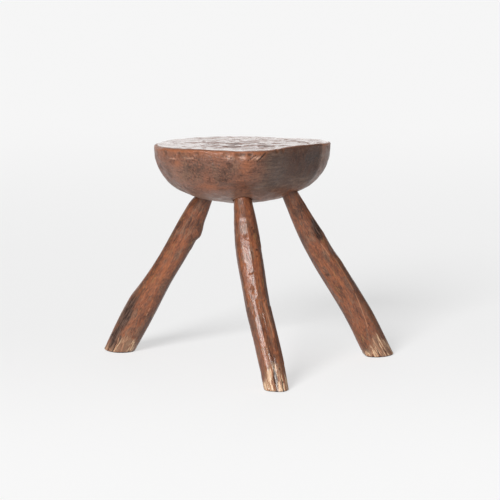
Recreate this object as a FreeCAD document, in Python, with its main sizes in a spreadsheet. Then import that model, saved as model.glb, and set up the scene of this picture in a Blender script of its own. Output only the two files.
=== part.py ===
"""Three-legged milking stool: one thick hewn block with a bowl-shaped underside, and three
splayed branch legs whose tapered tenons pass right through it, each spread by a wedge.

Millimetres, +Z up. The origin is on the floor, under the middle of the stool's bounding box.
The front leg points to -Y, and the other two stand to the left (-X) and right (+X) at the back.
"""
import FreeCAD, Part
import math
import os
import Sketcher

# Driving dimensions. Lengths are in millimetres and angles in degrees.
SIZES = {
    "stool_tall": 350,       # floor to the sitting face
    "seat_thick": 91,        # sitting face to the bottom of the bowl
    "seat_middle_x": -6.5,   # the point that the rim's reaches are measured from
    "seat_middle_y": 25.5,
    "bowl_power": 2.35,      # 2 makes the bowl's profile an ellipse, and more makes it fuller
    "rim_turn": 15,          # direction of the rim's first control point, from +X
    "trim_wide": 700,        # plan size of the slab that levels the soles and the tenon ends
    "wedge_long": 60,        # across the tenon, before it is trimmed to the tenon's round
    "wedge_tall": 52,        # along the tenon, from the tip to the untrimmed head
    "wedge_thick": 7,        # at the untrimmed head
    "wedge_tip": 0.8,        # at the tip
    "wedge_proud": 14,       # head above the end of the tenon's axis, before trimming
}

# How far each of the rim's control points stands from the seat's middle, anticlockwise from
# rim_turn. The rim is round at the back and sides, with a corner at the front and a flatter
# hewn side between that corner and the right.
RIM_REACHES = (152, 152, 120, 135, 148, 143, 147, 144, 130, 135, 90, 119)

# The bowl's cross-sections, as angles down its rounded profile from the sitting face.
BOWL_ANGLES = (0, 20, 38, 54, 67, 77, 84)

# Each leg: where its axis meets the floor and the sitting face, its thickness at each
# station, how far it bows sideways and how far it crooks along its lean, and the direction of
# its wedge. The stations run from the foot to the neck, where the tenon starts, and the last
# is the tenon's end.
LEGS = {
    "front": {
        "foot": (42, -143), "top": (-23, -10),
        "thick": (34, 35, 36, 36, 37.5, 34, 26.5, 22.5),
        "bow": 5, "crook": 0, "wedge_turn": 70,
    },
    "left": {
        "foot": (-210, 139), "top": (-21, 37),
        "thick": (42, 44, 46, 37.5, 37, 32.5, 25, 22.5),
        "bow": 2, "crook": -2.5, "wedge_turn": 100,
    },
    "right": {
        "foot": (210, 104), "top": (28, -4),
        "thick": (41, 41, 40, 40, 36, 30.5, 25, 22.5),
        "bow": -2, "crook": -3, "wedge_turn": 80,
    },
}

# Where the stations lie, as fractions of the leg's axis from the floor to the sitting face.
# The leg starts below the floor and ends above the sitting face, so that both can be trimmed.
STATIONS = (-0.08, 0.06, 0.2, 0.38, 0.56, 0.68, 0.79, 1.06)

CUBIC = 3


def fill_sheet(doc):
    """Put every driving dimension in the spreadsheet, one alias to a row."""
    sheet = doc.addObject("Spreadsheet::Sheet", "Sizes")
    cells = dict(SIZES)
    for number, reach in enumerate(RIM_REACHES, 1):
        cells[f"rim_reach_{number}"] = reach
    for number, angle in enumerate(BOWL_ANGLES, 1):
        cells[f"bowl_angle_{number}"] = angle
    for number, fraction in enumerate(STATIONS, 1):
        cells[f"station_{number}"] = fraction
    for side, leg in LEGS.items():
        cells[f"{side}_foot_x"], cells[f"{side}_foot_y"] = leg["foot"]
        cells[f"{side}_top_x"], cells[f"{side}_top_y"] = leg["top"]
        for number, thick in enumerate(leg["thick"], 1):
            cells[f"{side}_thick_{number}"] = thick
        for name in ("bow", "crook", "wedge_turn"):
            cells[f"{side}_{name}"] = leg[name]
    for row, (name, value) in enumerate(cells.items(), 1):
        sheet.set(f"A{row}", str(value))
        sheet.setAlias(f"A{row}", name)
    doc.recompute()
    return cells


def add_sketch(body, name, height):
    """A sketch parallel to the body's own XY plane, raised by the expression height."""
    plane = next(item for item in body.Origin.OriginFeatures if item.Role == "XY_Plane")
    sketch = body.newObject("Sketcher::SketchObject", name)
    sketch.AttachmentSupport = [(plane, "")]
    sketch.MapMode = "FlatFace"
    sketch.setExpression("AttachmentOffset.Base.z", height)
    return sketch


def pin_point(sketch, geometry, name, point, x_rule, y_rule):
    """Hold a circle's centre at x_rule, y_rule from the sketch's origin."""
    for kind, start, rule in (("DistanceX", point.x, x_rule), ("DistanceY", point.y, y_rule)):
        sketch.addConstraint(Sketcher.Constraint(kind, -1, 1, geometry, 3, start))
        label = f"{name}_{kind[-1].lower()}"
        sketch.renameConstraint(sketch.ConstraintCount - 1, label)
        sketch.setExpression(f"Constraints.{label}", rule)


def add_rim_sketch(body, number, cells):
    """One closed cross-section of the block: the rim's curve, drawn in and lowered."""
    angle = f"Sizes.bowl_angle_{number}"
    power = "(2 / Sizes.bowl_power)"
    drop = f"-Sizes.seat_thick * pow(sin({angle}); {power})"
    share = f"pow(cos({angle}); {power})"
    sketch = add_sketch(body, f"bowl_section_{number}", drop)

    turn = math.radians(cells["rim_turn"])
    step = math.tau / len(RIM_REACHES)
    scale = math.cos(math.radians(cells[f"bowl_angle_{number}"])) ** (2 / cells["bowl_power"])
    poles = [FreeCAD.Vector(reach * scale * math.cos(turn + index * step),
                            reach * scale * math.sin(turn + index * step), 0)
             for index, reach in enumerate(RIM_REACHES)]
    curve = Part.BSplineCurve()
    curve.buildFromPoles(poles, True, CUBIC)
    spline = sketch.addGeometry(curve, False)
    sketch.exposeInternalGeometry(spline)

    controls = [item.First for item in sketch.Constraints
                if item.Type == "InternalAlignment"
                and isinstance(sketch.Geometry[item.First], Part.Circle)]
    for index, geometry in enumerate(controls):
        reach = f"Sizes.rim_reach_{index + 1} * {share}"
        heading = f"(Sizes.rim_turn + {index} * 360 / {len(controls)})"
        centre = sketch.Geometry[geometry].Center
        pin_point(sketch, geometry, f"control_{index + 1}", centre,
                  f"{reach} * cos({heading})", f"{reach} * sin({heading})")
    return sketch


def add_loft(body, name, sketches, ruled=False):
    """Join a body's cross-sections into one solid."""
    loft = body.newObject("PartDesign::AdditiveLoft", name)
    loft.Profile = sketches[0]
    loft.Sections = sketches[1:]
    loft.Ruled = ruled
    return loft


def make_block(doc, cells):
    """The seat before its mortises: a flat top over a rounded bowl."""
    body = doc.addObject("PartDesign::Body", "block")
    doc.recompute()
    sections = [add_rim_sketch(body, number, cells)
                for number in range(1, len(BOWL_ANGLES) + 1)]
    doc.recompute()
    add_loft(body, "bowl", sections)
    body.setExpression("Placement", "placement(vector(Sizes.seat_middle_x; Sizes.seat_middle_y;"
                       " Sizes.stool_tall); rotation(0; 0; 0))")
    return body


def leg_rules(side):
    """The expressions for a leg's run in plan, its length and its placement."""
    run_x = f"(Sizes.{side}_top_x - Sizes.{side}_foot_x)"
    run_y = f"(Sizes.{side}_top_y - Sizes.{side}_foot_y)"
    run = f"hypot({run_x}; {run_y})"
    length = f"hypot({run}; Sizes.stool_tall)"
    heading = f"atan2({run_y}; {run_x})"
    lean = f"atan2({run}; Sizes.stool_tall)"
    place = (f"placement(vector(Sizes.{side}_foot_x; Sizes.{side}_foot_y; 0);"
             f" rotation({heading}; {lean}; 0))")
    return length, place


def make_branch(doc, side):
    """One leg before trimming: its length lies along the body's own Z, from the foot up."""
    length, place = leg_rules(side)
    neck = f"Sizes.station_{len(STATIONS) - 1}"
    body = doc.addObject("PartDesign::Body", f"branch_{side}")
    doc.recompute()
    sections = []
    for number in range(1, len(STATIONS) + 1):
        fraction = f"Sizes.station_{number}"
        sketch = add_sketch(body, f"{side}_station_{number}", f"{fraction} * {length}")
        circle = sketch.addGeometry(Part.Circle(), False)
        # The bow and the crook die out at the foot and the neck, so that the tenon is straight.
        swing = f"max(min({fraction} / {neck}; 1); 0) * 180"
        pin_point(sketch, circle, "centre", FreeCAD.Vector(0, 0, 0),
                  f"Sizes.{side}_crook * sin(2 * {swing})", f"Sizes.{side}_bow * sin({swing})")
        sketch.addConstraint(Sketcher.Constraint("Diameter", circle, 1))
        sketch.renameConstraint(sketch.ConstraintCount - 1, "thick")
        sketch.setExpression("Constraints.thick", f"Sizes.{side}_thick_{number}")
        sections.append(sketch)
    doc.recompute()
    add_loft(body, f"{side}_shank", sections[:-1])
    doc.recompute()
    add_loft(body, f"{side}_tenon", sections[-2:], ruled=True)
    body.setExpression("Placement", place)
    return body


def make_slab(doc):
    """All the space between the floor and the sitting face."""
    slab = doc.addObject("Part::Box", "slab")
    slab.setExpression("Length", "Sizes.trim_wide")
    slab.setExpression("Width", "Sizes.trim_wide")
    slab.setExpression("Height", "Sizes.stool_tall")
    slab.setExpression("Placement.Base.x", "-Sizes.trim_wide / 2")
    slab.setExpression("Placement.Base.y", "-Sizes.trim_wide / 2")
    return slab


def make_splitter(doc, side):
    """The wedge before trimming: it tapers along the tenon, thin end down."""
    length, place = leg_rules(side)
    splitter = doc.addObject("Part::Wedge", f"splitter_{side}")
    rules = {
        "Xmin": "-Sizes.wedge_long / 2", "Xmax": "Sizes.wedge_long / 2",
        "X2min": "-Sizes.wedge_long / 2", "X2max": "Sizes.wedge_long / 2",
        "Ymin": "Sizes.wedge_proud - Sizes.wedge_tall", "Ymax": "Sizes.wedge_proud",
        "Zmin": "-Sizes.wedge_tip / 2", "Zmax": "Sizes.wedge_tip / 2",
        "Z2min": "-Sizes.wedge_thick / 2", "Z2max": "Sizes.wedge_thick / 2",
    }
    for name, rule in rules.items():
        splitter.setExpression(name, rule)
    # A quarter roll stands the taper up along the tenon.
    splitter.setExpression("Placement", f"{place} * placement(vector(0; 0; {length});"
                           f" rotation(Sizes.{side}_wedge_turn; 0; 90))")
    return splitter


def combine(doc, kind, name, base, tool):
    """A boolean of two objects: what they share, or base less tool."""
    result = doc.addObject(kind, name)
    result.Base = base
    result.Tool = tool
    return result


def make_leg_and_wedge(doc, side, slab):
    """A leg cut level at the floor and the sitting face, and the wedge in its tenon."""
    whole = combine(doc, "Part::Common", f"whole_{side}", make_branch(doc, side), slab)
    splitter = make_splitter(doc, side)
    wedge = combine(doc, "Part::Common", f"wedge_{side}", whole, splitter)
    leg = combine(doc, "Part::Cut", f"leg_{side}", whole, splitter)
    return whole, leg, wedge


def make_stool(doc):
    """Build every piece, and return the ones that the stool is put together from."""
    cells = fill_sheet(doc)
    slab = make_slab(doc)
    wholes = []
    pieces = []
    for side in LEGS:
        whole, leg, wedge = make_leg_and_wedge(doc, side, slab)
        wholes.append(whole)
        pieces += [leg, wedge]
    tenons = doc.addObject("Part::MultiFuse", "tenons")
    tenons.Shapes = wholes
    seat = combine(doc, "Part::Cut", "seat_block", make_block(doc, cells), tenons)
    doc.recompute()
    pieces.insert(0, seat)
    for piece in pieces:
        piece.Label = piece.Name
    return pieces


def check(doc, pieces):
    """Stop if any feature failed, or if a piece isn't one sound solid."""
    for item in doc.Objects:
        if "Invalid" in item.State or "Error" in item.State:
            raise RuntimeError(f"{item.Name} failed: {item.State}")
    for piece in pieces:
        shape = piece.Shape
        if shape.isNull() or not shape.isValid() or len(shape.Solids) != 1:
            raise RuntimeError(f"{piece.Label} is not one valid solid")
        box = shape.optimalBoundingBox(False)
        print(f"{piece.Label}: {shape.Volume / 1000:.1f} cm3, "
              f"x {box.XMin:.1f} to {box.XMax:.1f}, y {box.YMin:.1f} to {box.YMax:.1f}, "
              f"z {box.ZMin:.1f} to {box.ZMax:.1f}")


def main():
    doc = FreeCAD.newDocument("milking_stool")
    pieces = make_stool(doc)
    check(doc, pieces)
    os.makedirs("parts", exist_ok=True)
    for piece in pieces:
        piece.Shape.exportStep(f"parts/{piece.Label}.step")


main()
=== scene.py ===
import math
import bmesh
import bpy
import numpy as np
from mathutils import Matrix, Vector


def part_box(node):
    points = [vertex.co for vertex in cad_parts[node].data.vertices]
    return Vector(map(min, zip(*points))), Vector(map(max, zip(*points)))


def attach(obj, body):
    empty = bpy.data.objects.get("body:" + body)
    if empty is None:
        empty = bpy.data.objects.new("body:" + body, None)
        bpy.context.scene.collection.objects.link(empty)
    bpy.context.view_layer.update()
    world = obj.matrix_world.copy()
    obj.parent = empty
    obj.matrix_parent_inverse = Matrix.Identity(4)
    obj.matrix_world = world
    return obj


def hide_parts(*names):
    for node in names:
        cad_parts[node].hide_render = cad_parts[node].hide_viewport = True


# The looks of a three-legged milking stool, in metres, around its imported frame.
# +Z is up, the front leg is on the -Y side, and every mesh is in the frame's own coordinates.

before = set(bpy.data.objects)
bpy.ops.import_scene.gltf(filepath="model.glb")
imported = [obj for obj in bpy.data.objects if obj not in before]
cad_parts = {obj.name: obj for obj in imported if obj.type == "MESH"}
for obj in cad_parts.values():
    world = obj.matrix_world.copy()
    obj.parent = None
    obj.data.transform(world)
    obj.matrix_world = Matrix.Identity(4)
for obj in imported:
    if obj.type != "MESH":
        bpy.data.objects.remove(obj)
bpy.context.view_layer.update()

MM = 0.001

SEAT_VOXEL = 1.5 * MM
LEG_VOXEL = 0.95 * MM
WEDGE_VOXEL = 0.6 * MM

seat_low, seat_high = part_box("seat_block")
TOP = seat_high.z
SEAT_MIDDLE = np.array([(seat_low.x + seat_high.x) / 2, (seat_low.y + seat_high.y) / 2, TOP])
UP = np.array([0, 0, 1.0])


# ---- numbers made of noise

def lattice(cells, seed):
    """A repeatable value from -1 to 1 for each whole-numbered cell."""
    mix = cells[..., 0] * 73856093 ^ cells[..., 1] * 19349663 ^ cells[..., 2] * 83492791
    mix = (mix ^ seed * 2654435761) & 0xFFFFFFFF
    mix = (mix ^ mix >> 15) * 2246822519 & 0xFFFFFFFF
    mix = (mix ^ mix >> 13) * 3266489917 & 0xFFFFFFFF
    return ((mix ^ mix >> 16) & 0xFFFF) / 32767.5 - 1


def noise(points, size, seed, octaves=1):
    """Smooth noise from about -1 to 1; size is the length of its largest lumps."""
    total = np.zeros(len(points))
    share = 1.0
    for octave in range(octaves):
        scaled = points / (size / 2 ** octave) + 17.3 * octave
        low = np.floor(scaled)
        part = scaled - low
        part = part * part * (3 - 2 * part)
        low = low.astype(np.int64)
        for corner in range(8):
            step = np.array([corner & 1, corner >> 1 & 1, corner >> 2 & 1])
            weight = np.prod(np.where(step, part, 1 - part), axis=1)
            total += share * weight * lattice(low + step, seed + octave)
        share /= 2
    return total


def bell(distance, width):
    """1 at no distance, falling smoothly to nearly 0 at about two widths."""
    return np.exp(-(distance / width) ** 2)


def ramp(value, start, end):
    """0 before start, 1 past end, and smooth between them."""
    part = np.clip((value - start) / (end - start), 0, 1)
    return part * part * (3 - 2 * part)


def window(value, start, end, soft):
    """1 between start and end, fading to 0 outside over the length soft."""
    return ramp(value, start - soft, start) * (1 - ramp(value, end, end + soft))


def turn_between(first, second):
    """The angle between two bearings, in degrees, from 0 to 180."""
    return np.abs((first - second + 180) % 360 - 180)


def direction(bearing, rise):
    """A unit vector at a bearing from +X and an angle above level, in degrees."""
    turn, up = math.radians(bearing), math.radians(rise)
    return np.array([math.cos(turn) * math.cos(up), math.sin(turn) * math.cos(up), math.sin(up)])


# ---- mesh tools

def read(items, field, width=3, kind=float):
    """One row of numbers for each vertex or edge."""
    values = np.empty(len(items) * width, kind)
    items.foreach_get(field, values)
    return values.reshape(-1, width)


def read_points(mesh):
    return read(mesh.vertices, "co")


def read_normals(mesh):
    return read(mesh.vertices, "normal")


def read_edges(mesh):
    return read(mesh.edges, "vertices", 2, np.int64)


def write_points(mesh, points):
    mesh.vertices.foreach_set("co", points.ravel())
    mesh.update()


def spread(values, edges, rounds, strength=0.5):
    """Average each vertex's value or place with its neighbours'."""
    count = np.bincount(edges.ravel(), minlength=len(values)).astype(float)
    flat = values.reshape(len(values), -1).copy()
    for _ in range(rounds):
        mean = np.empty_like(flat)
        for column in range(flat.shape[1]):
            total = np.bincount(edges[:, 0], flat[edges[:, 1], column], len(flat))
            total += np.bincount(edges[:, 1], flat[edges[:, 0], column], len(flat))
            mean[:, column] = total / count
        flat += strength * (mean - flat)
    return flat.reshape(values.shape)


def remeshed(node, name, voxel):
    """A new object with the CAD node's shape as one even, dense skin."""
    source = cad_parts[node].data.copy()
    build = bmesh.new()
    build.from_mesh(source)
    bmesh.ops.remove_doubles(build, verts=build.verts, dist=0.001 * MM)
    build.to_mesh(source)
    build.free()
    source.materials.clear()
    piece = bpy.data.objects.new(name, source)
    bpy.context.scene.collection.objects.link(piece)
    skin = piece.modifiers.new("skin", "REMESH")
    skin.mode = "VOXEL"
    skin.voxel_size = voxel
    graph = bpy.context.evaluated_depsgraph_get()
    piece.data = bpy.data.meshes.new_from_object(piece.evaluated_get(graph))
    piece.modifiers.clear()
    piece.data.name = name
    piece.data.shade_smooth()
    return piece


def shave(points, normal, depth, worn):
    """Cut the points back to a plane, given by its normal and its distance along it.

    worn rounds the cut's edge over that length."""
    over = points @ normal - depth
    near = over > -6 * worn
    points[near] -= np.outer(worn * np.logaddexp(0, over[near] / worn), normal)


def gouge(points, centre, radius):
    """Scoop out whatever lies inside a ball."""
    away = points - centre
    far = np.linalg.norm(away, axis=1)
    inside = far < radius
    points[inside] = centre + away[inside] * (radius / np.maximum(far[inside], 1e-9))[:, None]


def store(piece, **fields):
    """Keep numbers or vectors for each vertex, for the material to read by their names."""
    for name, values in fields.items():
        kind, field = ("FLOAT", "value") if values.ndim == 1 else ("FLOAT_VECTOR", "vector")
        layer = piece.data.attributes.new(name, kind, "POINT")
        layer.data.foreach_set(field, np.ascontiguousarray(values, np.float32).ravel())


def relief(mesh, points, edges):
    """How far each vertex stands proud (+) of its neighbours or lies sunk (-), in mm."""
    step = points - spread(points, edges, 6)
    return np.einsum("ij,ij->i", step, read_normals(mesh)) / MM


def dress(piece, node, material):
    """Put a finished piece in its CAD node's place."""
    piece.data.materials.append(material)
    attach(piece, "root")
    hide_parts(node)


# ---- the sitting face

# Worn hollows in the sitting face: place from the seat's middle, radius and depth, in mm.
HOLLOWS = (
    (-62, 28, 46, 1.2),
    (30, 52, 40, 1.0),
    (-18, -54, 24, 0.6),
    (66, 14, 30, 1.0),
    (-92, -30, 26, 0.8),
)

# Cracks along the grain of the sitting face: two ends from the seat's middle, width and
# depth, in mm.
CHECKS = (
    ((56, 92), (90, 84), 1.5, 2.2),
    ((-42, -30), (-26, -33), 1.0, 1.4),
    ((-2, -36), (16, -33), 1.0, 1.4),
    ((-34, -50), (-10, -55), 1.1, 1.4),
    ((0, -12), (24, -14), 1.1, 1.6),
    ((-38, 12), (-24, 12), 0.9, 1.2),
    ((2, 14), (20, 10), 0.9, 1.2),
    ((49, -31), (70, -26), 0.9, 1.2),
    ((-92, 34), (-60, 40), 0.9, 1.0),
    ((-78, -34), (-54, -30), 0.9, 1.0),
    ((8, 62), (38, 57), 1.0, 1.2),
    ((-56, 76), (-26, 80), 0.9, 1.0),
)
NICKS = 90


def near_line(places, start, end):
    """Each flat place's distance from the line between two points, and its share along it."""
    start, end = np.array(start, float), np.array(end, float)
    run = end - start
    part = np.clip((places - start) @ run / (run @ run), 0, 1)
    return np.linalg.norm(places - start - np.outer(part, run), axis=1), part


def crack(places, start, end, width):
    """A soft 0 to 1 share over a line that tapers to both its ends."""
    gap, part = near_line(places, start, end)
    return bell(gap, width * (0.3 + 0.7 * np.sin(math.pi * part)))


def face_height(points):
    """The sitting face's waviness, which the seat, the tenons and the wedges share."""
    flat = points.copy()
    flat[:, 2] = 0
    height = 0.9 * noise(flat, 80 * MM, 11, 2) + 0.35 * noise(flat, 17 * MM, 12, 2)
    places = (flat[:, :2] - SEAT_MIDDLE[:2]) / MM
    for x, y, size, deep in HOLLOWS:
        height -= deep * bell(np.hypot(places[:, 0] - x, places[:, 1] - y), size)
    return height * MM


def face_checks(points):
    """How deep the cracks and nicks in the sitting face are at each point, in mm."""
    places = (points[:, :2] - SEAT_MIDDLE[:2]) / MM
    flat = points.copy()
    flat[:, 2] = 0
    wander = np.stack([noise(flat, 12 * MM, 14, 2), noise(flat, 9 * MM, 15, 3)], 1) * 1.6
    deep = np.zeros(len(points))
    for start, end, width, depth in CHECKS:
        deep = np.maximum(deep, depth * crack(places + wander, start, end, width))
    chance = np.random.default_rng(8)
    for _ in range(NICKS):
        middle = chance.normal(0, 48, 2)
        turn, half = chance.normal(0, 0.5), chance.uniform(1.5, 7)
        step = half * np.array([math.cos(turn), math.sin(turn)])
        depth = chance.uniform(0.3, 0.9)
        deep = np.maximum(deep, depth * crack(places + wander, middle - step, middle + step, 0.9))
    return deep


def near_face(points):
    """1 at the sitting face, falling to 0 a little below it."""
    return ramp(points[:, 2], TOP - 14 * MM, TOP - 1 * MM)


# ---- the seat

# Broad faces hewn down the side of the block: bearing from +X and tilt below level, in
# degrees, and how deep each bites, in mm.
HEWN_SIDES = (
    (-38, 9, 2.4),
    (-74, 28, 1.6),
    (-82, 54, 6.5),
    (-104, 20, 1.0),
    (17, 12, 3.0),
    (52, 16, 2.0),
    (86, 20, 2.0),
    (122, 17, 2.0),
    (158, 19, 1.0),
    (184, 4, 1.6),
    (-2, 5, 1.0),
    (196, 17, 1.1),
    (232, 24, 1.2),
)
FACETS = 170

# The rim's top edge is worn round, most of all where a hand lifts the stool: bearing of the
# most worn place in degrees, and the least and most wear in mm.
RIM_WORN_AT = 185
RIM_WEAR = (0.35, 1.3)

# The lip that stands up around the sitting face: its height and reach inwards, in mm, and
# where it is higher (+) or lower (-): bearing and reach around in degrees, and height in mm.
LIP = 1.1
LIP_REACH = 36
LIP_SWELLS = (
    (-95, 45, 1.2),
    (-22, 28, 1.7),
    (50, 35, -1.2),
    (-160, 24, 0.9),
)

# Dents and chips in the rim: bearing, drop below the sitting face, radius of the scoop and
# bite, in degrees and mm.
CHIPS = (
    (-98.5, 7.0, 12, 2.0),
    (-90, 7.0, 16, 3.2),
    (-83, 8.0, 10, 1.4),
    (-119, 9.0, 10, 0.4),
    (-133, 10.0, 10, 0.5),
    (-146, 13.0, 12, 0.6),
    (-50, 3.0, 12, 0.9),
    (-58, 2.5, 10, 0.7),
    (35, 4.0, 14, 1.3),
    (97, 5.0, 16, 1.6),
    (150, 4.0, 13, 1.2),
)

# Swellings (+) and hollows (-) of the bowl: bearing, drop, reach across, reach down and
# height, in degrees and mm.
SWELLS = (
    (0, 56, 70, 24, 1.3),
    (-38, 84, 40, 14, 0.5),
    (-118, 81, 36, 12, -3.0),
)

# Cuts and cracks in the bowl: from and to, each a bearing and a drop, then width and depth,
# in degrees and mm.
BOWL_CUTS = (
    ((-80, 14), (-73, 3), 1.0, 1.4),
    ((-83, 13), (-77, 4), 0.7, 0.9),
    ((-86, 12), (-80, 5), 0.8, 1.1),
    ((-102, 7), (-96, 12), 0.9, 0.7),
    ((-100, 10), (-94, 8), 1.1, 0.7),
    ((-5, 4), (-4, 26), 1.0, 0.6),
    ((60, 8), (66, 40), 1.2, 1.4),
    ((118, 6), (121, 30), 1.2, 1.2),
)

# Marks on the bowl, dark, rusty and pale: bearing, drop, reach across and reach down, in
# degrees and mm. The bruises are where the rim was knocked, painted chalk-pale there as
# painted highlights for the glints on the dents. One flank is painted paler.
DARK_STAINS = (
    (-125, 9, 15, 5),
    (-124, 28, 15, 9),
    (-103, 36, 15, 11),
    (-78, 14, 5, 5),
    (-76, 62, 16, 8),
    (-150, 36, 10, 9),
    (-20, 62, 22, 14),
    (70, 30, 26, 16),
    (150, 44, 24, 14),
)
BRUISE_GLINTS = (
    (-98.5, 8.0, 6, 2.0),
    (-90, 7.5, 6, 2.0),
    (-80, 9.0, 7, 2.4),
    (-128, 10.5, 10, 0.9),
    (-141, 12.5, 9, 0.9),
)
RUSTY_STAINS = (
    (-136, 20, 10, 6),
    (-89, 18, 12, 12),
    (-93, 31, 6, 4),
    (-118, 56, 18, 10),
    (-155, 12, 9, 6),
    (110, 22, 18, 12),
)
PALE_FLANK = ((-140, 40, 24, 17),)

# The middle of the log that the block was split from, from the middle of the sitting face.
PITH = np.array([0, 35, -140]) * MM


def hew_bowl(points):
    """Give the bowl its broad hewn faces and a scatter of small axe facets."""
    chance = np.random.default_rng(4)
    heart = SEAT_MIDDLE - 8 * MM * UP
    cuts = [(direction(bearing, -tilt), bite, 0.4) for bearing, tilt, bite in HEWN_SIDES]
    for _ in range(FACETS):
        rise = -math.degrees(math.acos(chance.uniform(0.1, 1)))
        normal = direction(chance.uniform(0, 360), rise)
        cuts.append((normal, chance.uniform(0.2, 1.0), 0.2))
    for normal, bite, worn in cuts:
        reach = np.max((points - heart) @ normal)
        shave(points, normal, heart @ normal + reach - bite * MM, worn * MM)


def wear_rim(points):
    """Round the edge between the sitting face and the bowl."""
    least, most = RIM_WEAR
    for bearing in range(0, 360, 10):
        share = math.exp(-((bearing - RIM_WORN_AT) / 60) ** 2)
        bite = least + (most - least) * share + 0.4 * math.sin(bearing * 1.7)
        for tilt, part in ((22, 0.45), (45, 1.0), (68, 0.45)):
            normal = direction(bearing, tilt)
            reach = np.max(points @ normal)
            shave(points, normal, reach - part * bite * MM, 0.3 * MM)


def rim_point(points, bearing, drop):
    """The block's outermost point in a direction, at a drop below the sitting face in mm."""
    level = points[abs(points[:, 2] - TOP + drop * MM) < 1.2 * MM]
    toward = direction(bearing, 0)
    places = level - SEAT_MIDDLE
    bearings = np.degrees(np.arctan2(places[:, 1], places[:, 0]))
    near = level[turn_between(bearings, bearing) < 2]
    return near[np.argmax((near - SEAT_MIDDLE) @ toward)]


def rim_gap(bearing, away):
    """Each point's distance in from the block's outline seen from above, in mm."""
    turns = np.arange(-180, 181, 6)
    reaches = [away[turn_between(bearing, turn) < 3].max() for turn in turns]
    return (np.interp(bearing, turns, reaches) - away) / MM


def chip_rim(points):
    """Knock the dents and chips out of the rim."""
    for bearing, drop, radius, bite in CHIPS:
        edge = rim_point(points, bearing, drop)
        outward = direction(bearing - 4, 22)
        gouge(points, edge + outward * (radius - bite) * MM, radius * MM)


def open_mortises(points, branches):
    """Widen each mortise a little, so that a dark line shows around its leg."""
    for branch in branches.values():
        along, out, _ = branch.measure(points)
        out = out - branch.lean(along)
        far = np.linalg.norm(out, axis=1)
        wall = bell(far - branch.neck, 1.6 * MM) * (points[:, 2] < TOP - 6 * MM)
        slim = bell(far - branch.end_radius(points), 1.2 * MM) * near_face(points)
        push = (1.0 * wall + 0.35 * slim) * MM
        points += out / np.maximum(far, 1e-6)[:, None] * push[:, None]


def stain(bearing, drop, away, spots):
    """How strongly each point is stained, from 0 to 1."""
    share = np.zeros(len(drop))
    for at, depth, wide, tall in spots:
        across = np.radians(turn_between(bearing, at)) * away / MM
        share = np.maximum(share, bell(np.hypot(across / wide, (drop - depth) / tall), 1))
    return share


def cut_depth(bearing, drop, away, cuts):
    """How deep the cuts in the bowl are at each point, in mm."""
    deep = np.zeros(len(drop))
    for (from_turn, from_drop), (to_turn, to_drop), width, depth in cuts:
        across = (bearing - from_turn) * math.radians(1) * away / MM
        run = math.radians(to_turn - from_turn) * 120
        flat = np.stack([across, drop - from_drop], 1)
        line = crack(flat, (0, 0), (run, to_drop - from_drop), width)
        deep = np.maximum(deep, depth * line)
    return deep


def outer_share(points, normals, branches):
    """1 on the bowl and the rim, and 0 on the sitting face and in the mortises."""
    share = ramp(-normals[:, 2], -0.85, -0.3)
    for branch in branches.values():
        along, out, _ = branch.measure(points)
        far = np.linalg.norm(out - branch.lean(along), axis=1)
        share *= ramp(far - branch.neck, 1.6 * MM, 3.6 * MM)
    return share


def find_corner(points, bearing, drop):
    """Shares of 0 to 1: the dark right front, and its part that was hewn upright."""
    corner = bearing + 8 * noise(points, 34 * MM, 27, 4)
    right_front = ramp(corner, -84 - 0.10 * drop, -66 - 0.02 * drop)
    right_front *= 1 - ramp(bearing + 1.5 * noise(points, 9 * MM, 28, 2), -7, -1)
    return right_front, right_front * ramp(corner, -64, -38) * (1 - ramp(drop, 34, 56))


def mark_maps(bearing, drop):
    """Two flat maps of the bowl, stretched along its upright marks and its level ones."""
    around = np.radians(bearing) * 0.12
    down = np.arccos(np.clip(1 - drop / 95, -1, 1)) * 0.1
    zero = np.zeros(len(drop))
    upright = np.stack([around + 0.12 * down, down * 0.3, zero], 1)
    return upright, np.stack([around * 0.2 + down * 0.05, down, zero], 1)


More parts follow.
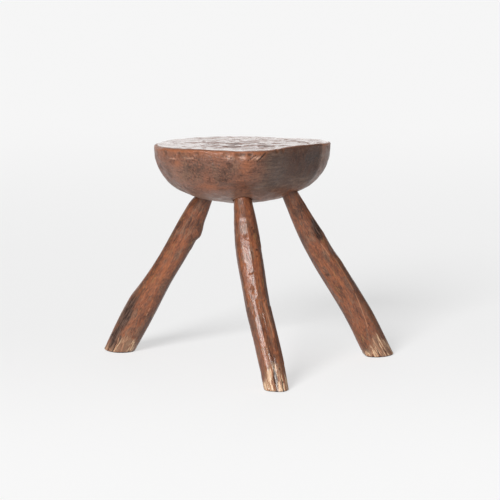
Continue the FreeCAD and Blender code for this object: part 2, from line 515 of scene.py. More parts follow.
def make_seat(material, branches):
    piece = remeshed("seat_block", "seat", SEAT_VOXEL)
    mesh = piece.data
    edges = read_edges(mesh)
    points = spread(read_points(mesh), edges, 2)
    open_mortises(points, branches)
    write_points(mesh, points)
    normals = read_normals(mesh)
    places = (points - SEAT_MIDDLE)[:, :2]
    away = np.linalg.norm(places, axis=1)
    bearing = np.degrees(np.arctan2(places[:, 1], places[:, 0]))
    outside = outer_share(points, normals, branches)
    points += normals * (outside * 0.8 * MM)[:, None]
    hew_bowl(points)
    wear_rim(points)
    chip_rim(points)
    write_points(mesh, points)

    normals = read_normals(mesh)
    drop = (TOP - points[:, 2]) / MM
    right_front, hewn = find_corner(points, bearing, drop)
    upright, level = mark_maps(bearing, drop)
    marks = 0.30 * hewn * noise(upright, 6 * MM, 23, 2)
    marks += 0.20 * (1 - hewn) * noise(level, 6 * MM, 24, 2)
    lumps = 0.7 * noise(points, 55 * MM, 21, 2) + 0.22 * noise(points, 13 * MM, 22, 2)
    for *place, high in SWELLS:
        lumps += high * stain(bearing, drop, away, [place])
    cuts = cut_depth(bearing, drop, away, BOWL_CUTS) * outside
    points += normals * ((outside * (marks + lumps) - cuts) * MM)[:, None]

    deep = face_checks(points) * near_face(points) * ramp(normals[:, 2], 0.4, 0.8)
    gap = rim_gap(bearing, away)
    lip = LIP + sum(more * bell(turn_between(bearing, at), wide) for at, wide, more in LIP_SWELLS)
    lip *= MM * (1 - ramp(gap, 0, LIP_REACH))
    points[:, 2] += near_face(points) * (face_height(points) + lip) - deep * MM
    write_points(mesh, points)

    normals = read_normals(mesh)
    drop = (TOP - points[:, 2]) / MM
    warp = 5 * noise(points, 16 * MM, 41, 3)
    wander = bearing + 2.5 * noise(points, 20 * MM, 42, 3)
    reach = 7 + 5 * bell(turn_between(bearing, -70), 55)
    handled = 1 - ramp(gap + 2.5 * noise(points, 14 * MM, 43, 3), 0.3 * reach, reach)
    top = ramp(points[:, 2], TOP - 9 * MM, TOP - 5 * MM)
    flank = 0.6 * stain(wander, drop + warp, away, PALE_FLANK)
    store(piece,
          proud=relief(mesh, points, edges),
          fibre=(points - SEAT_MIDDLE - PITH)[:, [1, 2, 0]],
          upright=upright,
          level=level,
          right_front=right_front * outside,
          hewn=hewn * outside,
          end_strip=window(bearing, -3, 30, 4) * outside,
          dark_stain=stain(wander, drop + warp, away, DARK_STAINS) * outside,
          rusty_stain=stain(wander, drop + warp, away, RUSTY_STAINS) * outside,
          # painted highlight: chalk-pale glints on the rim's dents, over bruised wood
          bruise=stain(bearing, drop + 0.2 * warp, away, BRUISE_GLINTS) * outside,
          handled=handled * near_face(points),
          face=ramp(normals[:, 2], 0.88, 0.98) * near_face(points),
          # worn wood and painted highlight: the rounded top edge of the rim, painted as a bright
          # line
          edge=window(normals[:, 2], 0.30, 0.93, 0.15) * top,
          rim=bell(drop - 4.5, 3.2) * ramp(away, 70 * MM, 90 * MM) * outside,
          worn_middle=bell(away, 75 * MM),
          low=np.maximum(ramp(drop, 52, 80), flank) * outside,
          # painted shade: the depth of the cracks, nicks and cuts darkens them
          cleft=deep + cuts)
    dress(piece, "seat_block", material)


# ---- the legs

class Branch:
    """A leg's own coordinates: along it from the foot, out from its centre, and around it."""

    SLICES = 60
    NECK_PLACE = 0.79
    END_PLACE = 0.93
    PLAIN_RADIUS = 12 * MM

    def __init__(self, node, bow):
        points = read_points(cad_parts[node].data)
        self.bow = bow
        self.start = self.slice_middle(points, 0)
        finish = self.slice_middle(points, TOP)
        self.length = np.linalg.norm(finish - self.start)
        self.axis = (finish - self.start) / self.length
        front = np.array([0, -1.0, 0])
        front -= self.axis * (front @ self.axis)
        self.front = front / np.linalg.norm(front)
        self.side = np.cross(self.axis, self.front)
        self.levels = np.array([0.0, 1.0])
        self.offsets = np.zeros((2, 3))
        self.neck = self.radius_at(points, self.NECK_PLACE)
        self.end = self.radius_at(points, self.END_PLACE)

    @staticmethod
    def slice_middle(points, height):
        ring = points[abs(points[:, 2] - height) < 0.2 * MM]
        low, high = ring.min(axis=0), ring.max(axis=0)
        return (low + high) / 2

    def radius_at(self, points, place):
        along, out, _ = self.measure(points)
        ring = abs(along - place) < 0.03
        if not ring.any():
            return self.PLAIN_RADIUS
        return np.median(np.linalg.norm(out[ring], axis=1))

    def end_radius(self, points):
        """The tenon's radius beside each point: it tapers from the neck to its end."""
        along = (points - self.start) @ self.axis / self.length
        return np.interp(along, [self.NECK_PLACE, self.END_PLACE, 1.1],
                         [self.neck, self.end, self.end - 0.5 * MM])

    def lean(self, along):
        """How far the branch bows off its plain CAD shape at each place along it."""
        places, shifts = zip(*self.bow)
        shift = np.interp(along, places, shifts) * (1 - ramp(along, 0.82, 0.94))
        return np.outer(shift * MM, self.side)

    def follow(self, points):
        """Learn how the leg's centre bows away from its straight axis."""
        along = (points - self.start) @ self.axis / self.length
        levels = np.linspace(0.08, 0.76, self.SLICES)
        gap = levels[1] - levels[0]
        middles = np.array([points[abs(along - at) < gap].mean(axis=0) for at in levels])
        straight = self.start + np.outer(levels * self.length, self.axis)
        self.levels, self.offsets = levels, middles - straight

    def measure(self, points):
        """Along, in shares of the length; the outward vectors; around, in degrees from front."""
        along = (points - self.start) @ self.axis / self.length
        centre = self.start + np.outer(along * self.length, self.axis)
        for column in range(3):
            centre[:, column] += np.interp(along, self.levels, self.offsets[:, column])
        out = points - centre
        out -= np.outer(out @ self.axis, self.axis)
        around = np.degrees(np.arctan2(out @ self.side, out @ self.front))
        return along, out, around


# The places on a leg between which its worked shank gives way to its smooth neck.
SHANK_END = (0.735, 0.775)

# Each leg's look. Places are shares of the leg's length up from the foot, and bearings are
# degrees around it from its front, + to the right; every other length is in mm.
# bow: place and sideways shift. cuts: how many stray knife cuts, and deepest their greatest
# depth. flats: knife cuts as bearing, start, end and depth. knobs: bumps (+) and hollows (-)
# as place, bearing, length, width and height. pits: small holes as place, bearing and radius.
# splits: cracks up from the sole as bearing, length, width and depth. bare: the bearing and
# height of the foot's bare wood, and bareness how much of it shows. weathered: grey patches;
# the dark brown patches are grime in places and painted shade in long bands down both sides
# of the leg; both as place, bearing, length and width. creases and scratches: dark lines and
# fine pale ones, as places and bearings from end to end.
LOOKS = {
    "front": {
        "seed": 31, "cuts": 30, "deepest": 1.2,
        "bow": ((0.0, 1.6), (0.15, 1.4), (0.25, 0.9), (0.35, -0.5), (0.6, -0.9), (0.8, 0.2)),
        "flats": ((-76, -0.2, 0.80, 1.2), (-54, -0.2, 0.33, 1.8), (-26, 0.30, 0.50, 1.2),
                  (-8, 0.47, 0.68, 1.2), (-8, 0.64, 0.82, 0.9), (28, 0.30, 0.80, 0.9),
                  (-12, 0.10, 0.37, 1.0), (20, 0.13, 0.35, 3.0), (9, -0.2, 0.16, 2.6),
                  (40, -0.2, 0.14, 1.2),
                  (66, -0.2, 0.80, 1.1), (74, 0.34, 0.56, 1.8), (108, -0.2, 0.6, 1.0),
                  (-112, 0.1, 0.8, 1.0), (160, -0.2, 0.7, 1.0), (-160, 0.0, 0.8, 1.0)),
        "knobs": ((0.398, -12, 6, 4, -1.2), (0.622, -5, 4, 3, -0.7), (0.70, -20, 16, 8, 0.6),
                  (0.50, 70, 26, 10, 0.6), (0.31, -100, 24, 12, 0.7), (0.46, -6, 9, 6, -0.5)),
        "pits": ((0.648, 37, 1.9), (0.556, 44, 2.0), (0.530, 40, 1.3), (0.073, 37, 1.6),
                 (0.600, 8, 1.2), (0.470, 12, 1.2), (0.350, 40, 1.1), (0.02, 44, 2.0)),
        "splits": ((4, 40, 5.0, 0.8), (38, 16, 1.4, 1.6), (-34, 12, 1.0, 1.0),
                   (150, 40, 1.6, 2.0), (-120, 30, 1.4, 1.6)),
        "bare": (12, 34),
        "weathered": ((0.05, 6, 22, 3.2),),
        "creases": (((0.402, -22), (0.392, -12), (0.401, -2)), ((0.30, 16), (0.22, 12)),
                    ((0.14, -6), (0.02, 2)), ((0.55, 20), (0.48, 16))),
        "grimy": ((0.45, -64, 160, 7), (0.42, 66, 160, 6), (0.14, 14, 24, 5), (0.08, -74, 30, 5),
                  (0.45, 2, 20, 3), (0.30, 180, 90, 12)),
        "bareness": 1.0,
        "scratches": (((0.20, -6), (0.05, -4)), ((0.34, 34), (0.20, 44))),
    },
    "left": {
        "seed": 32, "cuts": 16, "deepest": 0.6,
        "bow": ((0.0, -1.5), (0.2, -1.4), (0.3, -0.8), (0.5, -1.2), (0.65, -1.9), (0.8, -1.6)),
        "flats": ((-48, -0.2, 0.22, 0.9), (82, 0.05, 0.52, 0.9), (-30, 0.48, 0.58, 0.9),
                  (150, 0.1, 0.5, 1.0), (-140, 0.3, 0.7, 1.0)),
        "knobs": ((0.625, 72, 10, 10, 3.2), (0.600, 74, 7, 8, 2.8), (0.68, 76, 20, 10, 0.5),
                  (0.75, -76, 12, 12, -1.4),
                  (0.555, -36, 8, 2.2, -1.3), (0.235, -80, 14, 12, 1.4),
                  (0.70, -70, 14, 12, 1.2), (0.63, -84, 34, 12, 1.0),
                  (0.58, -160, 16, 10, 2.0)),
        "pits": ((0.236, 36, 0.9), (0.217, 36, 0.9), (0.41, 30, 0.9), (0.12, 10, 1.2)),
        "splits": ((-44, 22, 1.2, 1.4), (-22, 30, 1.4, 1.4), (12, 14, 1.0, 1.0),
                   (40, 22, 1.4, 1.4), (170, 36, 1.6, 2.0)),
        "bare": (-6, 22),
        "weathered": ((0.17, -46, 40, 12), (0.06, -46, 24, 11)),
        "grimy": ((0.55, -60, 130, 8), (0.36, 62, 170, 8), (0.64, -8, 14, 5), (0.03, 40, 16, 8),
                  (0.66, 34, 14, 6), (0.30, 180, 70, 12)),
        "creases": (((0.605, 30), (0.585, 48), (0.60, 66)), ((0.70, 44), (0.65, 54), (0.62, 46)),
                    ((0.57, -34), (0.53, -40)), ((0.72, 10), (0.60, 4))),
        "bareness": 0.55,
        "scratches": (((0.245, 34), (0.232, 35)), ((0.222, 35), (0.212, 37)),
                      ((0.07, -30), (0.02, -22)), ((0.06, 4), (0.02, 12))),
    },
    "right": {
        "seed": 33, "cuts": 18, "deepest": 0.6,
        "bow": ((0.0, 0.8), (0.15, 1.2), (0.3, 1.0), (0.5, 0.2), (0.65, -1.4), (0.8, -2.9)),
        "flats": ((-60, 0.30, 0.60, 0.8), (58, -0.2, 0.30, 0.8), (64, 0.63, 0.76, 1.2),
                  (24, 0.1, 0.5, 0.6), (150, 0.1, 0.7, 1.0), (-140, -0.1, 0.5, 1.0)),
        "knobs": ((0.615, 48, 14, 7, -1.7), (0.580, 74, 8, 10, 0.7), (0.65, 50, 8, 4, 0.8),
                  (0.445, 78, 10, 8, 0.8), (0.432, -24, 8, 5, -0.9), (0.47, -30, 9, 6, 0.6),
                  (0.20, 130, 24, 12, 1.4), (0.30, 74, 46, 14, -1.6),
                  (0.49, 68, 16, 11, -2.0)),
        "pits": ((0.384, 14, 1.0), (0.432, -21, 1.2), (0.60, 44, 1.6), (0.635, 30, 1.4),
                 (0.03, -10, 1.4)),
        "splits": ((-22, 20, 1.0, 1.2), (4, 26, 1.2, 1.4), (34, 20, 1.2, 1.2),
                   (160, 34, 1.6, 2.0)),
        "bare": (32, 27),
        "weathered": ((0.618, 52, 19, 9),),
        "creases": (((0.47, -30), (0.445, -12), (0.425, -20), (0.435, -34)),
                    ((0.50, -20), (0.48, -2), (0.40, -4)), ((0.64, 28), (0.58, 36)),
                    ((0.36, -20), (0.31, -14))),
        "grimy": ((0.50, -64, 150, 7), (0.30, 66, 130, 6), (0.435, -24, 9, 6), (0.35, -16, 16, 5),
                  (0.06, -40, 26, 9), (0.72, 10, 16, 16), (0.40, 180, 80, 12)),
        "bareness": 0.7,
        "scratches": (((0.482, 47), (0.407, 46), (0.319, 42)), ((0.30, 40), (0.154, 13)),
                      ((0.56, 22), (0.50, 30)), ((0.10, 8), (0.03, 16))),
    },
}


def cut_flat(points, branch, girth, bearing, start, end, bite):
    """One knife cut along a leg: flat across, and scooping in and out at its ends."""
    along, out, _ = branch.measure(points)
    turn = math.radians(bearing)
    normal = math.cos(turn) * branch.front + math.sin(turn) * branch.side
    inside = window(along, start, end, 0.04)
    plane = girth(along) - bite * MM * inside + 3 * MM * (1 - inside)
    worn = 0.22 * MM
    over = worn * np.logaddexp(0, np.clip((out @ normal - plane) / worn, -50, 50))
    points -= np.outer(over, normal)


def shape_leg(points, branch, look):
    chance = np.random.default_rng(look["seed"])
    along, out, _ = branch.measure(points)
    radius = np.linalg.norm(out, axis=1)
    levels = np.linspace(0.08, 0.98, 55)
    means = np.array([radius[abs(along - at) < 0.02].mean() for at in levels])

    def girth(place):
        return np.interp(place, levels, means)

    cuts = list(look["flats"])
    for _ in range(look["cuts"]):
        start = chance.uniform(-0.1, 0.66)
        end = min(start + chance.uniform(0.06, 0.3), 0.73)
        cuts.append((chance.uniform(-180, 180), start, end,
                     chance.uniform(0.2, look["deepest"])))
    for cut in cuts:
        cut_flat(points, branch, girth, *cut)


def across_leg(around, bearing, radius):
    """Distance around the leg from a bearing, in mm."""
    return np.radians(turn_between(around, bearing)) * radius / MM


def patches(along, around, radius, branch, places):
    """A soft 0 to 1 share for each patch, given as place, bearing, length and width."""
    share = np.zeros(len(along))
    for place, bearing, long, wide in places:
        run = (along - place) * branch.length / MM
        far = np.hypot(run / long, across_leg(around, bearing, radius) / wide)
        share = np.maximum(share, bell(far, 1))
    return share


def knob_height(along, around, radius, branch, look):
    """The bumps and hollows on a leg, in mm."""
    height = np.zeros(len(along))
    for *patch, high in look["knobs"]:
        height += high * patches(along, around, radius, branch, [patch])
    return height


def split_depth(along, around, radius, branch, look):
    """The cracks that run up from the sole, in mm."""
    deep = np.zeros(len(along))
    rise = along * branch.length / MM
    for bearing, long, wide, depth in look["splits"]:
        drift = 1.5 * np.sin(rise / 11 + bearing)
        fade = 1 - ramp(rise, long * 0.5, long)
        gap = across_leg(around, bearing + drift, radius)
        deep = np.maximum(deep, depth * fade * bell(gap, wide / 2 + 0.3))
    return deep


def pit_depth(along, around, radius, branch, look):
    """The small round holes, in mm."""
    deep = np.zeros(len(along))
    for place, bearing, size in look["pits"]:
        hole = patches(along, around, radius, branch, [(place, bearing, size, size)])
        deep = np.maximum(deep, 0.65 * size * hole)
    return deep


def line_share(along, around, radius, branch, lines):
    """A 0 to 1 share along each fine line."""
    share = np.zeros(len(along))
    flat = np.stack([along * branch.length, np.radians(around) * radius], 1) / MM
    girth = np.median(radius) / MM
    for line in lines:
        ends = [(place * branch.length / MM, math.radians(turn) * girth) for place, turn in line]
        for start, end in zip(ends, ends[1:]):
            share = np.maximum(share, bell(near_line(flat, start, end)[0], 0.8))
    return share


def round_sole(points, branch):
    """Wear the sole's edge away."""
    for bearing in range(0, 360, 24):
        turn = math.radians(bearing)
        level = np.array([math.cos(turn), math.sin(turn), 0])
        normal = 0.72 * level - 0.69 * UP
        normal /= np.linalg.norm(normal)
        low = points[points[:, 2] < 12 * MM]
        reach = np.max(low @ normal)
        bite = 0.6 + 0.4 * math.sin(bearing * 2.3 + branch.length * 90)
        shave(points, normal, reach - bite * MM, 0.3 * MM)


def make_leg(side, branch, material):
    look = LOOKS[side]
    piece = remeshed(f"leg_{side}", f"{side}_leg", LEG_VOXEL)
    mesh = piece.data
    edges = read_edges(mesh)
    points = spread(read_points(mesh), edges, 3)
    points += branch.lean((points - branch.start) @ branch.axis / branch.length)
    branch.follow(points)
    along, out, _ = branch.measure(points)
    shank = 1 - ramp(along, *SHANK_END)
    outward = out / np.maximum(np.linalg.norm(out, axis=1), 1e-6)[:, None]
    stouter = 1.4 * (1 - ramp(along, 0.58, 0.80)) + 0.8 * (1 - ramp(along, 0.0, 0.32))
    points += outward * (stouter * MM)[:, None]
    shape_leg(points, branch, look)
    along, out, around = branch.measure(points)
    radius = np.linalg.norm(out, axis=1)
    skin = np.stack([out @ branch.front, out @ branch.side, along * branch.length / 4], 1)
    push = 0.50 * noise(skin, 22 * MM, look["seed"], 2)
    push += 0.16 * noise(skin, 6 * MM, look["seed"] + 5, 2)
    push += knob_height(along, around, radius, branch, look)
    # The depths of the splits, pits and creases: carved in, and painted as shade as well.
    cleft = split_depth(along, around, radius, branch, look) * ramp(radius, 6 * MM, 12 * MM)
    cleft = np.maximum(cleft, pit_depth(along, around, radius, branch, look))
    shaken = around + 5 * noise(skin, 9 * MM, look["seed"] + 7, 2)
    creases = line_share(along, shaken, radius, branch, look["creases"])
    cleft = np.maximum(cleft, 0.6 * creases)
    points += outward * (shank * (push - cleft) * MM)[:, None]
    round_sole(points, branch)
    points[:, 2] += near_face(points) * (face_height(points) - 0.3 * MM)
    points[:, 2] = np.maximum(points[:, 2], 0)
    write_points(mesh, points)

    rise = points[:, 2] / MM
    turn = np.radians(around)
    fray = np.stack([np.cos(turn) * 5, np.sin(turn) * 5, rise * 0.05], 1)
    ragged = 8 * noise(fray, 1.0, look["seed"] + 9, 3)
    middle, tall = look["bare"]
    lobe = tall * bell(turn_between(around, middle) / 60, 1) + 6
    warp = np.stack([out @ branch.front, out @ branch.side, along * branch.length * 0.5], 1)
    loose = noise(warp, 7 * MM, look["seed"] + 3, 3)
    loose_place = along + 0.012 * loose, around + 9 * loose, radius, branch
    store(piece,
          proud=relief(mesh, points, edges),
          fibre=np.stack([out @ branch.front, out @ branch.side, along * branch.length], 1),
          bare=(1 - ramp(rise - lobe - ragged, -9, 9)) * look["bareness"],
          # painted shade down the clefts, and a painted contact shadow along the sole's edge
          cleft=cleft * shank + 1.4 * (1 - ramp(rise, 0.6, 3.2)),
          weathered=patches(*loose_place, look["weathered"]),
          # dark patches: grime in places, and painted shade in long bands down the leg's sides
          grimy=patches(*loose_place, look["grimy"]),
          scratch=line_share(along, around, radius, branch, look["scratches"]),
          # painted shade: the top of the leg, under the seat, is darkened
          neck=ramp(along, 0.70, branch.NECK_PLACE))
    dress(piece, f"leg_{side}", material)


def make_wedge(side, material):
    piece = remeshed(f"wedge_{side}", f"{side}_wedge", WEDGE_VOXEL)
    points = read_points(piece.data)
    points[:, 2] += near_face(points) * (face_height(points) - 0.1 * MM)
    write_points(piece.data, points)
    store(piece, fibre=points - SEAT_MIDDLE)
    dress(piece, f"wedge_{side}", material)


# ---- materials

class Nodes:
    """A node tree, built one node at a time; most methods return the new node's output."""

    def __init__(self, tree):
        self.tree = tree

    def feed(self, node, values):
        """Link or set a node's inputs, given as names or numbers with sockets or values."""
        for name, value in values.items():
            socket = node.inputs[name]
            if isinstance(value, bpy.types.NodeSocket):
                self.tree.links.new(value, socket)
            elif isinstance(value, tuple) and len(value) < len(socket.default_value):
                socket.default_value = (*value, 1)
            else:
                socket.default_value = value

    def make(self, kind, values=None):
        """A new node with its inputs fed."""
        node = self.tree.nodes.new("ShaderNode" + kind)
        self.feed(node, values or {})
        return node

    def between(self, value, low, high, start=0.0, end=1.0):
        """Map low..high to start..end, and hold it there outside."""
        node = self.make("MapRange", {"Value": value, "From Min": low, "From Max": high,
                                      "To Min": start, "To Max": end})
        node.interpolation_type = "SMOOTHSTEP"
        return node.outputs["Result"]

    def math(self, kind, first, second):
        node = self.make("Math", {0: first, 1: second})
        node.operation = kind
        return node.outputs["Value"]


class Finish(Nodes):
    """A wood finish: stains laid over each other, and a skin that is embossed and waxed."""

    def __init__(self, name, colour):
        self.material = bpy.data.materials.new(name)
        self.material.use_nodes = True
        super().__init__(self.material.node_tree)
        self.colour = colour
        self.normal = None

    def attribute(self, name, output="Fac"):
        node = self.make("Attribute")
        node.attribute_name = name
        return node.outputs[output]

    def scaled(self, vector, stretch):
        return self.make("Mapping", {"Vector": vector, "Scale": stretch}).outputs["Vector"]

    def noise(self, vector, scale, detail=3.0, rough=0.55, twist=0.0):
        node = self.make("TexNoise", {"Vector": vector, "Scale": scale, "Detail": detail,
                                      "Roughness": rough, "Distortion": twist})
        return node.outputs["Fac"]

    def rings(self, vector, spacing, twist):
        """Growth rings around the vector's third axis, with a spacing in metres."""
        node = self.make("TexWave", {"Vector": vector, "Scale": 2 * math.pi / 20 / spacing,
                                     "Distortion": twist, "Detail": 2, "Detail Scale": 0.12})
        node.wave_type = "RINGS"
        node.rings_direction = "Z"
        return node.outputs["Fac"]

    def times(self, first, *others):
        for other in others:
            first = self.math("MULTIPLY", first, other)
        return first

    def rest(self, share):
        """What a share leaves: one minus it."""
        return self.math("SUBTRACT", 1.0, share)

    def share(self, part):
        """A share may be a socket, a number, or a tuple of what between takes."""
        return self.between(*part) if isinstance(part, tuple) else part

    def blend(self, share, first, second):
        """Mix two colours, each a socket or three numbers."""
        node = self.make("Mix")
        node.data_type = "RGBA"
        self.feed(node, {"Factor": self.share(share), 6: first, 7: second})
        return node.outputs[2]

    def stain(self, colour, *shares):
        """Lay a colour over what is there, as strongly as the shares' product says."""
        share = self.times(*[self.share(part) for part in shares])
        self.colour = self.blend(share, self.colour, colour)

    def emboss(self, height, distance):
        """Raise the skin by a height; distance is in metres."""
        below = {"Normal": self.normal} if self.normal else {}
        node = self.make("Bump", {"Height": height, "Distance": distance, **below})
        self.normal = node.outputs["Normal"]

    def finish(self, roughness, coat, coat_roughness, specular=0.2, coat_index=1.5):
        """The wax is the coat; the wood below it is nearly matt."""
        self.feed(self.tree.nodes["Principled BSDF"], {
            "Base Color": self.colour, "Roughness": roughness, "Specular IOR Level": specular,
            "Normal": self.normal, "Coat Normal": self.normal, "Coat Weight": coat,
            "Coat Roughness": coat_roughness, "Coat IOR": coat_index})
        return self.material


BROWN = (0.158, 0.068, 0.041)
COCOA = (0.166, 0.080, 0.055)
CHESTNUT = (0.202, 0.076, 0.042)
RUSSET = (0.195, 0.062, 0.029)
AMBER = (0.270, 0.088, 0.036)
EMBER = (0.360, 0.130, 0.058)
ROSE = (0.420, 0.200, 0.110)
# Pale colour painted on the rim's dents as glints.
GLINT_CHALK = (0.520, 0.310, 0.220)
UMBER = (0.050, 0.022, 0.014)
# Near black: the wood's dark flecks and pores, and painted shade in the clefts and at the soles.
SOOT_AND_SHADE = (0.014, 0.008, 0.006)
ASH = (0.095, 0.055, 0.040)
TAN = (0.230, 0.165, 0.135)
STRAW = (0.580, 0.390, 0.240)
DRIFT = (0.170, 0.100, 0.064)
OCHRE = (0.300, 0.165, 0.060)


def make_seat_wood():
    wood = Finish("seat_wood", COCOA)
    fibre = wood.attribute("fibre", "Vector")
    along = wood.scaled(fibre, (1, 1, 0.12))
    grain = wood.noise(along, 300, 4, 0.6, 0.4)
    pores = wood.noise(along, 1300, 2, 0.5)
    rings = wood.rings(wood.scaled(fibre, (1, 1, 0.25)), 0.0042, 9)
    clouds = wood.noise(fibre, 32, 4, 0.55, 0.8)
    mottle = wood.noise(fibre, 85, 5, 0.65, 0.5)
    speckle = wood.noise(fibre, 360, 5, 0.7)
    upright = wood.noise(wood.attribute("upright", "Vector"), 240, 5, 0.65)
    level = wood.noise(wood.attribute("level", "Vector"), 220, 4, 0.6)
    right = wood.attribute("right_front")
    hewn = wood.attribute("hewn")
    face = wood.attribute("face")
    proud = wood.attribute("proud")
    left = wood.rest(right)

    wood.stain(CHESTNUT, (clouds, 0.42, 0.60, 0, 0.7))
    wood.stain(DRIFT, (clouds, 0.46, 0.34, 0, 0.8))
    wood.stain(ASH, (mottle, 0.48, 0.36, 0, 0.8))
    wood.stain(UMBER, (mottle, 0.51, 0.66, 0, 0.8))
    wood.stain(ASH, (level, 0.52, 0.68, 0, 0.2))
    wood.stain(UMBER, (rings, 0.55, 0.95, 0, 0.2))
    wood.stain(AMBER, wood.attribute("rusty_stain"), 0.6)
    wood.stain(UMBER, wood.attribute("dark_stain"), (speckle, 0.35, 0.6, 0.3, 0.8))
    dark = wood.blend((upright, 0.38, 0.62, 0.45, 1), SOOT_AND_SHADE, UMBER)
    dark = wood.blend((mottle, 0.48, 0.62, 0, 0.5), dark, ASH)
    corner = wood.blend((level, 0.40, 0.60), DRIFT, UMBER)
    corner = wood.blend((mottle, 0.40, 0.60, 0.2, 0.7), corner, ASH)
    dark = wood.blend(hewn, corner, dark)
    wood.stain(dark, right, (clouds, 0.35, 0.6, 1.0, 0.85))
    low = wood.attribute("low")
    wood.stain(AMBER, low, (mottle, 0.3, 0.6, 0.8, 0.3))
    wood.stain(TAN, low, left, (clouds, 0.3, 0.6, 0.2, 0.6))
    wood.stain(TAN, wood.attribute("end_strip"), (mottle, 0.3, 0.6, 0.9, 0.5))
    band = wood.times(wood.attribute("rim"), wood.between(left, 0, 1, 0.08, 0.6))
    wood.stain(UMBER, band, (mottle, 0.36, 0.5, 0.45, 0.15))
    handled = wood.attribute("handled")
    wood.stain(EMBER, handled, (left, 0, 1, 0.1, 0.3))
    # Worn wood and painted highlight: the rim's rounded top edge painted bright orange, most on
    # the left.
    edge = wood.times(wood.attribute("edge"), wood.between(left, 0, 1, 0.15, 1))
    wood.stain(EMBER, edge, (speckle, 0.3, 0.6, 0.2, 0.5))
    wood.stain(UMBER, (grain, 0.52, 0.68, 0, 0.4))
    wood.stain(SOOT_AND_SHADE, (speckle, 0.54, 0.66, 0, 0.5))
    wood.stain(EMBER, left, (speckle, 0.46, 0.34, 0, 0.45))
    wood.stain(DRIFT, right, (speckle, 0.46, 0.34, 0, 0.45))
    wood.stain(SOOT_AND_SHADE, (pores, 0.60, 0.75, 0, 0.45))
    wood.stain(AMBER, left, (proud, 0.08, 0.4, 0, 0.3))
    wood.stain(SOOT_AND_SHADE, (proud, -0.08, -0.5, 0, 0.7))
    # Painted highlight: the rim's dents painted chalk-pale as glints, over bruised wood.
    wood.stain(GLINT_CHALK, wood.attribute("bruise"), (speckle, 0.40, 0.58, 1, 0.15))
    # Painted shade: near black down the cracks, nicks and cuts.
    wood.stain(SOOT_AND_SHADE, (wood.attribute("cleft"), 0.2, 1.0, 0, 0.85))

    quiet = wood.between(face, 0, 1, 1, 0.25)
    small = wood.math("ADD", wood.times(grain, 0.6), wood.times(pores, 0.3))
    marks = wood.math("ADD", wood.times(upright, hewn),
                      wood.times(level, wood.rest(hewn), 0.4))
    wood.emboss(wood.times(small, quiet), 0.0006)
    wood.emboss(wood.times(marks, quiet), 0.0012)
    wood.emboss(wood.times(speckle, quiet), 0.0006)
    side_gloss = wood.between(mottle, 0.35, 0.65, 0.30, 0.5)
    flecks = wood.noise(wood.scaled(fibre, (1, 1, 0.6)), 120, 4, 0.7, 0.6)
    rubbed = wood.math("ADD", wood.math("ADD", flecks, wood.times(clouds, 0.5)),
                       wood.times(wood.attribute("worn_middle"), 0.11))
    face_gloss = wood.between(rubbed, 0.79, 0.96, 0.20, 0.62)
    shiny = wood.times(face, wood.between(handled, 0, 1, 1, 0.1))
    roughness = wood.math("ADD", wood.times(0.6, wood.rest(shiny)),
                          wood.times(face_gloss, shiny))
    roughness = wood.math("MINIMUM", roughness, wood.math("ADD", side_gloss, face))
    return wood.finish(roughness, 0.12, 0.14, 0.16, 1.9)


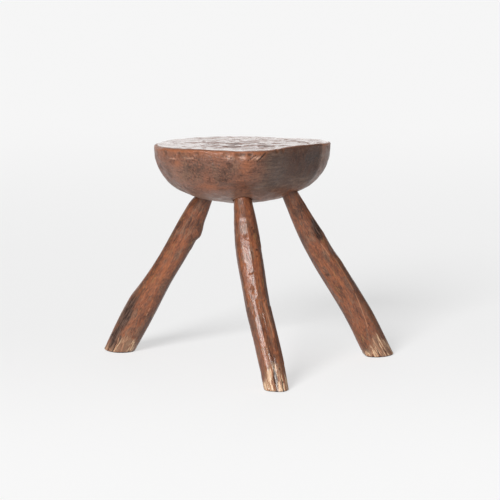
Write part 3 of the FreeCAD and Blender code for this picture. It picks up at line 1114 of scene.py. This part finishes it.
def make_leg_wood():
    wood = Finish("leg_wood", RUSSET)
    fibre = wood.attribute("fibre", "Vector")
    along = wood.scaled(fibre, (1, 1, 0.10))
    grain = wood.noise(along, 480, 4, 0.65, 0.3)
    streak = wood.noise(wood.scaled(fibre, (1, 1, 0.14)), 190, 5, 0.65, 0.4)
    pores = wood.noise(along, 1700, 2, 0.5)
    rings = wood.rings(wood.scaled(fibre, (1, 1, 0.05)), 0.0021, 4)
    clouds = wood.noise(wood.scaled(fibre, (1, 1, 0.4)), 45, 4, 0.6, 0.5)
    mottle = wood.noise(wood.scaled(fibre, (1, 1, 0.3)), 100, 4, 0.6, 0.4)
    speckle = wood.noise(wood.scaled(fibre, (1, 1, 0.22)), 640, 5, 0.75)
    bare = wood.attribute("bare")
    weathered = wood.attribute("weathered")
    proud = wood.attribute("proud")

    wood.stain(AMBER, (clouds, 0.42, 0.58, 0, 0.8))
    wood.stain(BROWN, (clouds, 0.44, 0.34, 0, 0.8))
    wood.stain(DRIFT, (mottle, 0.48, 0.36, 0, 0.75))
    wood.stain(UMBER, (mottle, 0.52, 0.70, 0, 0.65))
    wood.stain(BROWN, (streak, 0.46, 0.64, 0, 0.6))
    wood.stain(UMBER, (streak, 0.54, 0.76, 0, 0.5))
    # Grime in places, and painted shade in long dark bands down both sides of each leg.
    wood.stain(UMBER, wood.attribute("grimy"), (streak, 0.4, 0.6, 0.6, 0.95))
    wood.stain(UMBER, (grain, 0.50, 0.70, 0, 0.5))
    wood.stain(UMBER, (rings, 0.6, 1.0, 0, 0.3))
    wood.stain(OCHRE, (mottle, 0.56, 0.66, 0, 0.6), (clouds, 0.45, 0.6))
    wood.stain(UMBER, (speckle, 0.50, 0.64, 0, 0.65))
    wood.stain(EMBER, (speckle, 0.48, 0.38, 0, 0.55))
    wood.stain(DRIFT, (bare, 0.0, 0.4, 0, 0.8), (mottle, 0.3, 0.6))
    pale = wood.blend((grain, 0.44, 0.60), STRAW, RUSSET)
    pale = wood.blend((speckle, 0.52, 0.66, 0, 0.7), pale, UMBER)
    lines = wood.math("ADD", wood.times(bare, 0.32), streak)
    wood.stain(pale, (bare, 0.0, 0.3), (lines, 0.62, 0.78, 0.1, 1))
    ashen = wood.blend((grain, 0.44, 0.56), ASH, SOOT_AND_SHADE)
    wood.stain(ashen, (weathered, 0.1, 0.7, 0, 0.9))
    wood.stain(ROSE, wood.attribute("scratch"), (speckle, 0.3, 0.55, 0.2, 0.8))
    wood.stain(SOOT_AND_SHADE, (pores, 0.60, 0.75, 0, 0.45))
    wood.stain(AMBER, (proud, 0.05, 0.3, 0, 0.3))
    wood.stain(SOOT_AND_SHADE, (proud, -0.06, -0.35, 0, 0.75))
    # Painted shade: near black down the splits, pits and creases, and a painted contact shadow
    # along the sole's edge.
    wood.stain(SOOT_AND_SHADE, (wood.attribute("cleft"), 0.3, 1.4, 0, 0.85))
    # Painted shade: the top of the leg, under the seat, is darkened.
    wood.stain(UMBER, wood.attribute("neck"), 0.25)

    small = wood.math("ADD", wood.times(grain, 0.6), wood.times(pores, 0.3))
    wood.emboss(small, 0.0004)
    wood.emboss(wood.math("ADD", streak, wood.times(speckle, 0.4)), 0.0006)
    dull = wood.math("MAXIMUM", bare, weathered)
    gloss = wood.between(speckle, 0.40, 0.62, 0.24, 0.46)
    roughness = wood.math("MAXIMUM", gloss, wood.times(dull, 0.6))
    return wood.finish(roughness, 0.14, 0.19, 0.1, 2.2)


def make_wedge_wood():
    wood = Finish("wedge_wood", BROWN)
    fibre = wood.attribute("fibre", "Vector")
    grain = wood.noise(wood.scaled(fibre, (0.2, 1, 1)), 500, 4, 0.6)
    wood.stain(UMBER, (grain, 0.4, 0.65))
    wood.emboss(grain, 0.0004)
    return wood.finish(0.5, 0.3, 0.3)


# ---- the studio

# The camera's place in metres, its pitch down in degrees and its lens in mm.
CAMERA_PLACE = (0.003, -2.7695, 0.620)
CAMERA_PITCH = 8.865
CAMERA_LENS = 130.3

# Half the floor's width in metres, its colour, how strongly it glows, and how much more it
# does towards the front and the back.
FLOOR_HALF = 200
FLOOR_SHADE = (0.36, 0.36, 0.36)
FLOOR_GLOW = 0.568
FLOOR_NEAR_GLOW = 0.08
FLOOR_FAR_GLOW = 0.06

# How bright the backdrop looks, and how strongly it lights the stool from all round and from
# straight behind.
WHITE = (1, 1, 1)
BACKDROP = 0.92
SKY_FRONT = 0.20
SKY_BACK = 1.7


def make_floor():
    """A floor lit mostly from below, like a light table, so that shadows on it stay faint."""
    mesh = bpy.data.meshes.new("floor")
    far = FLOOR_HALF
    mesh.from_pydata([(-far, -far, 0), (far, -far, 0), (far, far, 0), (-far, far, 0)], [],
                     [(0, 1, 2, 3)])
    floor = bpy.data.objects.new("floor", mesh)
    bpy.context.scene.collection.objects.link(floor)
    paper = bpy.data.materials.new("floor_paper")
    paper.use_nodes = True
    nodes = Nodes(paper.node_tree)
    place = nodes.make("NewGeometry").outputs["Position"]
    depth = nodes.make("SeparateXYZ", {"Vector": place}).outputs["Y"]
    near = nodes.between(depth, 0.4, -0.7, 0, FLOOR_NEAR_GLOW)
    beyond = nodes.between(depth, 0.6, 4.5, FLOOR_GLOW, FLOOR_GLOW + FLOOR_FAR_GLOW)
    nodes.feed(paper.node_tree.nodes["Principled BSDF"], {
        "Base Color": FLOOR_SHADE, "Roughness": 1, "Specular IOR Level": 0,
        "Emission Color": WHITE, "Emission Strength": nodes.math("ADD", near, beyond)})
    mesh.materials.append(paper)


def make_sky():
    """An even white backdrop to look at; the light comes mostly from behind the stool."""
    world = bpy.data.worlds.new("studio")
    bpy.context.scene.world = world
    world.use_nodes = True
    nodes = Nodes(world.node_tree)
    toward = nodes.make("TexCoord").outputs["Generated"]
    depth = nodes.make("SeparateXYZ", {"Vector": toward}).outputs["Y"]
    glow = nodes.between(depth, 0.74, 0.985, SKY_FRONT, SKY_BACK)
    light = world.node_tree.nodes["Background"]
    nodes.feed(light, {"Color": WHITE, "Strength": glow})
    seen = nodes.make("Background", {"Color": WHITE, "Strength": BACKDROP})
    mix = nodes.make("MixShader", {
        "Fac": nodes.make("LightPath").outputs["Is Camera Ray"],
        1: light.outputs["Background"], 2: seen.outputs["Background"]})
    nodes.feed(world.node_tree.nodes["World Output"], {"Surface": mix.outputs["Shader"]})


def make_lamp(name, energy, angle, bearing, height):
    """A soft distant lamp, from a bearing (-90 is the front) and a height, in degrees."""
    lamp = bpy.data.lights.new(name, "SUN")
    lamp.energy = energy
    lamp.angle = math.radians(angle)
    holder = bpy.data.objects.new(name, lamp)
    holder.rotation_euler = (math.radians(90 - height), 0, math.radians(bearing + 90))
    bpy.context.scene.collection.objects.link(holder)


def make_camera():
    lens = bpy.data.cameras.new("camera")
    lens.lens = CAMERA_LENS
    lens.sensor_width = 36
    lens.clip_end = 1000
    camera = bpy.data.objects.new("camera", lens)
    camera.location = CAMERA_PLACE
    camera.rotation_euler = (math.radians(90 - CAMERA_PITCH), 0, 0)
    bpy.context.scene.collection.objects.link(camera)
    bpy.context.scene.camera = camera
    bpy.context.scene.view_settings.view_transform = "Standard"


make_floor()
make_sky()
make_lamp("key", energy=4.1, angle=22, bearing=-113, height=25.5)
make_camera()

branches = {side: Branch(f"leg_{side}", look["bow"]) for side, look in LOOKS.items()}
leg_wood = make_leg_wood()
wedge_wood = make_wedge_wood()
make_seat(make_seat_wood(), branches)
for side, branch in branches.items():
    make_leg(side, branch, leg_wood)
    make_wedge(side, wedge_wood)
